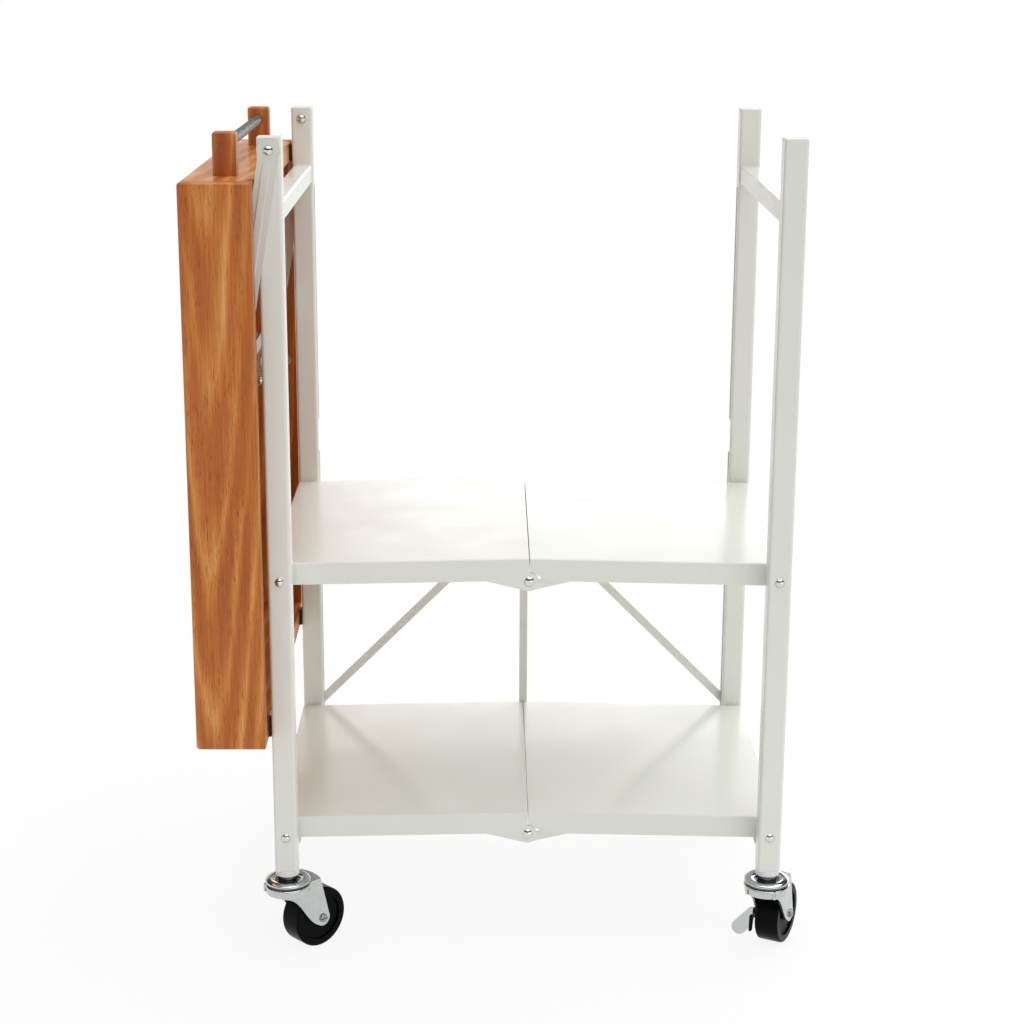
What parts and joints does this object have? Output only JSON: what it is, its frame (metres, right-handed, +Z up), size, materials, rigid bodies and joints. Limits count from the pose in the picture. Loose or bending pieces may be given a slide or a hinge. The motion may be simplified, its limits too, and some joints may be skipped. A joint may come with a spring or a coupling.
{
  "type": "folding kitchen island cart",
  "caption": "Folding kitchen island cart: steel frame on swivel casters, two shelves that fold up at the middle, and a hollow wooden worktop on swing arms hanging at one side.",
  "frame": {"origin": "on the floor, under the middle of the whole cart's bounding box with the worktop hanging at the left", "axes": "+Z up, +X to the right seen from the front, towards the end frame without the worktop, +Y to the rear, where the braces are"},
  "size_m": [0.6146, 0.442, 0.836],
  "materials": {
    "black_plastic": "moulded",
    "black_rubber": "matte",
    "black_tyre": "smooth",
    "dark_steel": "dark grey satin",
    "grey_nylon": "turned",
    "white_coat": "gloss powder coat",
    "white_plastic": "moulded",
    "wood": "lacquered rubberwood",
    "zinc": "bright zinc plate"
  },
  "bodies": {
    "left_end_frame": {"post_front_left": "white_coat", "post_rear_left": "white_coat", "crossbar_left": "white_coat", "post_plugs_left": "white_plastic", "pivot_screws_left": "zinc", "screw_nuts_left": "zinc", "screw_spacers_left": "grey_nylon", "caster_raceways_left": "zinc", "arm_screws": "zinc"},
    "right_end_frame": {"post_front_right": "white_coat", "post_rear_right": "white_coat", "crossbar_right": "white_coat", "post_plugs_right": "white_plastic", "pivot_screws_right": "zinc", "screw_nuts_right": "zinc", "screw_spacers_right": "grey_nylon", "caster_raceways_right": "zinc"},
    "upper_left_half": {"upper_shelf_left": "white_coat", "upper_centre_rivets": "zinc"},
    "upper_right_half": {"upper_shelf_right": "white_coat"},
    "lower_left_half": {"lower_shelf_left": "white_coat", "lower_centre_rivets": "zinc"},
    "lower_right_half": {"lower_shelf_right": "white_coat"},
    "link_bar": {"centre_link_bar": "white_coat", "brace_rivet": "zinc"},
    "left_brace": {"brace_left": "white_coat"},
    "right_brace": {"brace_right": "white_coat"},
    "swing_arms": {"arm_front": "white_coat", "arm_rear": "white_coat", "arm_tie": "white_coat", "arm_tie_rivets": "zinc"},
    "worktop": {"worktop_slab": "wood", "apron_front": "wood", "apron_rear": "wood", "apron_towel_end": "wood", "apron_far_end": "wood", "towel_tabs": "wood", "towel_bar": "dark_steel", "rim_bumpers": "black_rubber", "pivot_brackets": "zinc", "pivot_studs": "zinc", "bracket_screws": "zinc"},
    "front_left_fork": {"caster_fork_front_left": "zinc", "axle_front_left": "zinc"},
    "front_left_wheel": {"wheel_hub_front_left": "black_plastic", "tyre_front_left": "black_tyre"},
    "front_right_fork": {"caster_fork_front_right": "zinc", "axle_front_right": "zinc"},
    "front_right_wheel": {"wheel_hub_front_right": "black_plastic", "tyre_front_right": "black_tyre"},
    "front_right_brake": {"brake_lever_front_right": "zinc"},
    "rear_left_fork": {"caster_fork_rear_left": "zinc", "axle_rear_left": "zinc"},
    "rear_left_wheel": {"wheel_hub_rear_left": "black_plastic", "tyre_rear_left": "black_tyre"},
    "rear_right_fork": {"caster_fork_rear_right": "zinc", "axle_rear_right": "zinc"},
    "rear_right_wheel": {"wheel_hub_rear_right": "black_plastic", "tyre_rear_right": "black_tyre"},
    "rear_right_brake": {"brake_lever_rear_right": "zinc"}
  },
  "joints": [
    {"name": "upper_left_fold", "type": "hinge", "parent": "left_end_frame", "child": "upper_left_half", "pos_m": [-0.22452, 0, 0.402], "axis": [0, -1, 0], "range_deg": [0, 81.85]},
    {"name": "upper_middle_fold", "type": "hinge", "parent": "upper_left_half", "child": "upper_right_half", "pos_m": [0.02148, 0, 0.39494], "axis": [0, 1, 0], "range_deg": [0, 163.7]},
    {"name": "right_end_fold", "type": "hinge", "parent": "upper_right_half", "child": "right_end_frame", "pos_m": [0.26748, 0, 0.402], "axis": [0, -1, 0], "range_deg": [0, 81.85]},
    {"name": "lower_left_fold", "type": "hinge", "parent": "left_end_frame", "child": "lower_left_half", "pos_m": [-0.22452, 0, 0.131], "axis": [0, -1, 0], "range_deg": [0, 81.85]},
    {"name": "lower_middle_fold", "type": "hinge", "parent": "lower_left_half", "child": "lower_right_half", "pos_m": [0.02148, 0, 0.12394], "axis": [0, 1, 0], "range_deg": [0, 163.7]},
    {"name": "link_bar_turn", "type": "hinge", "parent": "upper_left_half", "child": "link_bar", "pos_m": [0.02148, 0.1648, 0.39494], "axis": [0, 1, 0], "range_deg": [0, 81.85]},
    {"name": "left_brace_turn", "type": "hinge", "parent": "link_bar", "child": "left_brace", "pos_m": [0.02148, 0.17735, 0.38194], "axis": [0, -1, 0], "range_deg": [0, 38.94]},
    {"name": "right_brace_turn", "type": "hinge", "parent": "link_bar", "child": "right_brace", "pos_m": [0.02148, 0.17965, 0.38194], "axis": [0, 1, 0], "range_deg": [0, 38.94]},
    {"name": "arm_swing", "type": "hinge", "parent": "left_end_frame", "child": "swing_arms", "pos_m": [-0.22452, 0, 0.822], "axis": [0, 1, 0], "range_deg": [0, 262.3]},
    {"name": "worktop_turn", "type": "hinge", "parent": "swing_arms", "child": "worktop", "pos_m": [-0.26932, 0, 0.54802], "axis": [0, -1, 0], "range_deg": [0, 172.3]},
    {"name": "front_left_swivel", "type": "hinge", "parent": "left_end_frame", "child": "front_left_fork", "pos_m": [-0.22452, -0.1795, 0.0772], "axis": [0, 0, 1], "continuous": true},
    {"name": "front_left_roll", "type": "hinge", "parent": "front_left_fork", "child": "front_left_wheel", "pos_m": [-0.20078, -0.15658, 0.03175], "axis": [-0.6947, 0.7193, 0], "continuous": true},
    {"name": "front_right_swivel", "type": "hinge", "parent": "right_end_frame", "child": "front_right_fork", "pos_m": [0.26748, -0.1795, 0.0772], "axis": [0, 0, 1], "continuous": true},
    {"name": "front_right_roll", "type": "hinge", "parent": "front_right_fork", "child": "front_right_wheel", "pos_m": [0.28246, -0.1501, 0.03175], "axis": [-0.891, 0.454, 0], "continuous": true},
    {"name": "front_right_brake_lift", "type": "hinge", "parent": "front_right_fork", "child": "front_right_brake", "pos_m": [0.28246, -0.1501, 0.03175], "axis": [-0.891, 0.454, 0], "range_deg": [0, 22]},
    {"name": "rear_left_swivel", "type": "hinge", "parent": "left_end_frame", "child": "rear_left_fork", "pos_m": [-0.22452, 0.1795, 0.0772], "axis": [0, 0, 1], "continuous": true},
    {"name": "rear_left_roll", "type": "hinge", "parent": "rear_left_fork", "child": "rear_left_wheel", "pos_m": [-0.23581, 0.14849, 0.03175], "axis": [0.9397, -0.342, 0], "continuous": true},
    {"name": "rear_right_swivel", "type": "hinge", "parent": "right_end_frame", "child": "rear_right_fork", "pos_m": [0.26748, 0.1795, 0.0772], "axis": [0, 0, 1], "continuous": true},
    {"name": "rear_right_roll", "type": "hinge", "parent": "rear_right_fork", "child": "rear_right_wheel", "pos_m": [0.24045, 0.16057, 0.03175], "axis": [0.5736, -0.8192, 0], "continuous": true},
    {"name": "rear_right_brake_lift", "type": "hinge", "parent": "rear_right_fork", "child": "rear_right_brake", "pos_m": [0.24045, 0.16057, 0.03175], "axis": [0.5736, -0.8192, 0], "range_deg": [0, 22]}
  ],
  "couplings": [
    {"joint": "upper_middle_fold", "follows": "upper_left_fold", "ratio": 2},
    {"joint": "right_end_fold", "follows": "upper_left_fold", "ratio": 1},
    {"joint": "lower_left_fold", "follows": "upper_left_fold", "ratio": 1},
    {"joint": "lower_middle_fold", "follows": "upper_left_fold", "ratio": 2},
    {"joint": "link_bar_turn", "follows": "upper_left_fold", "ratio": 1},
    {"joint": "left_brace_turn", "follows": "upper_left_fold", "ratio": 0.47576},
    {"joint": "right_brace_turn", "follows": "upper_left_fold", "ratio": 0.47576},
    {"joint": "worktop_turn", "follows": "arm_swing", "ratio": 0.65689}
  ]
}
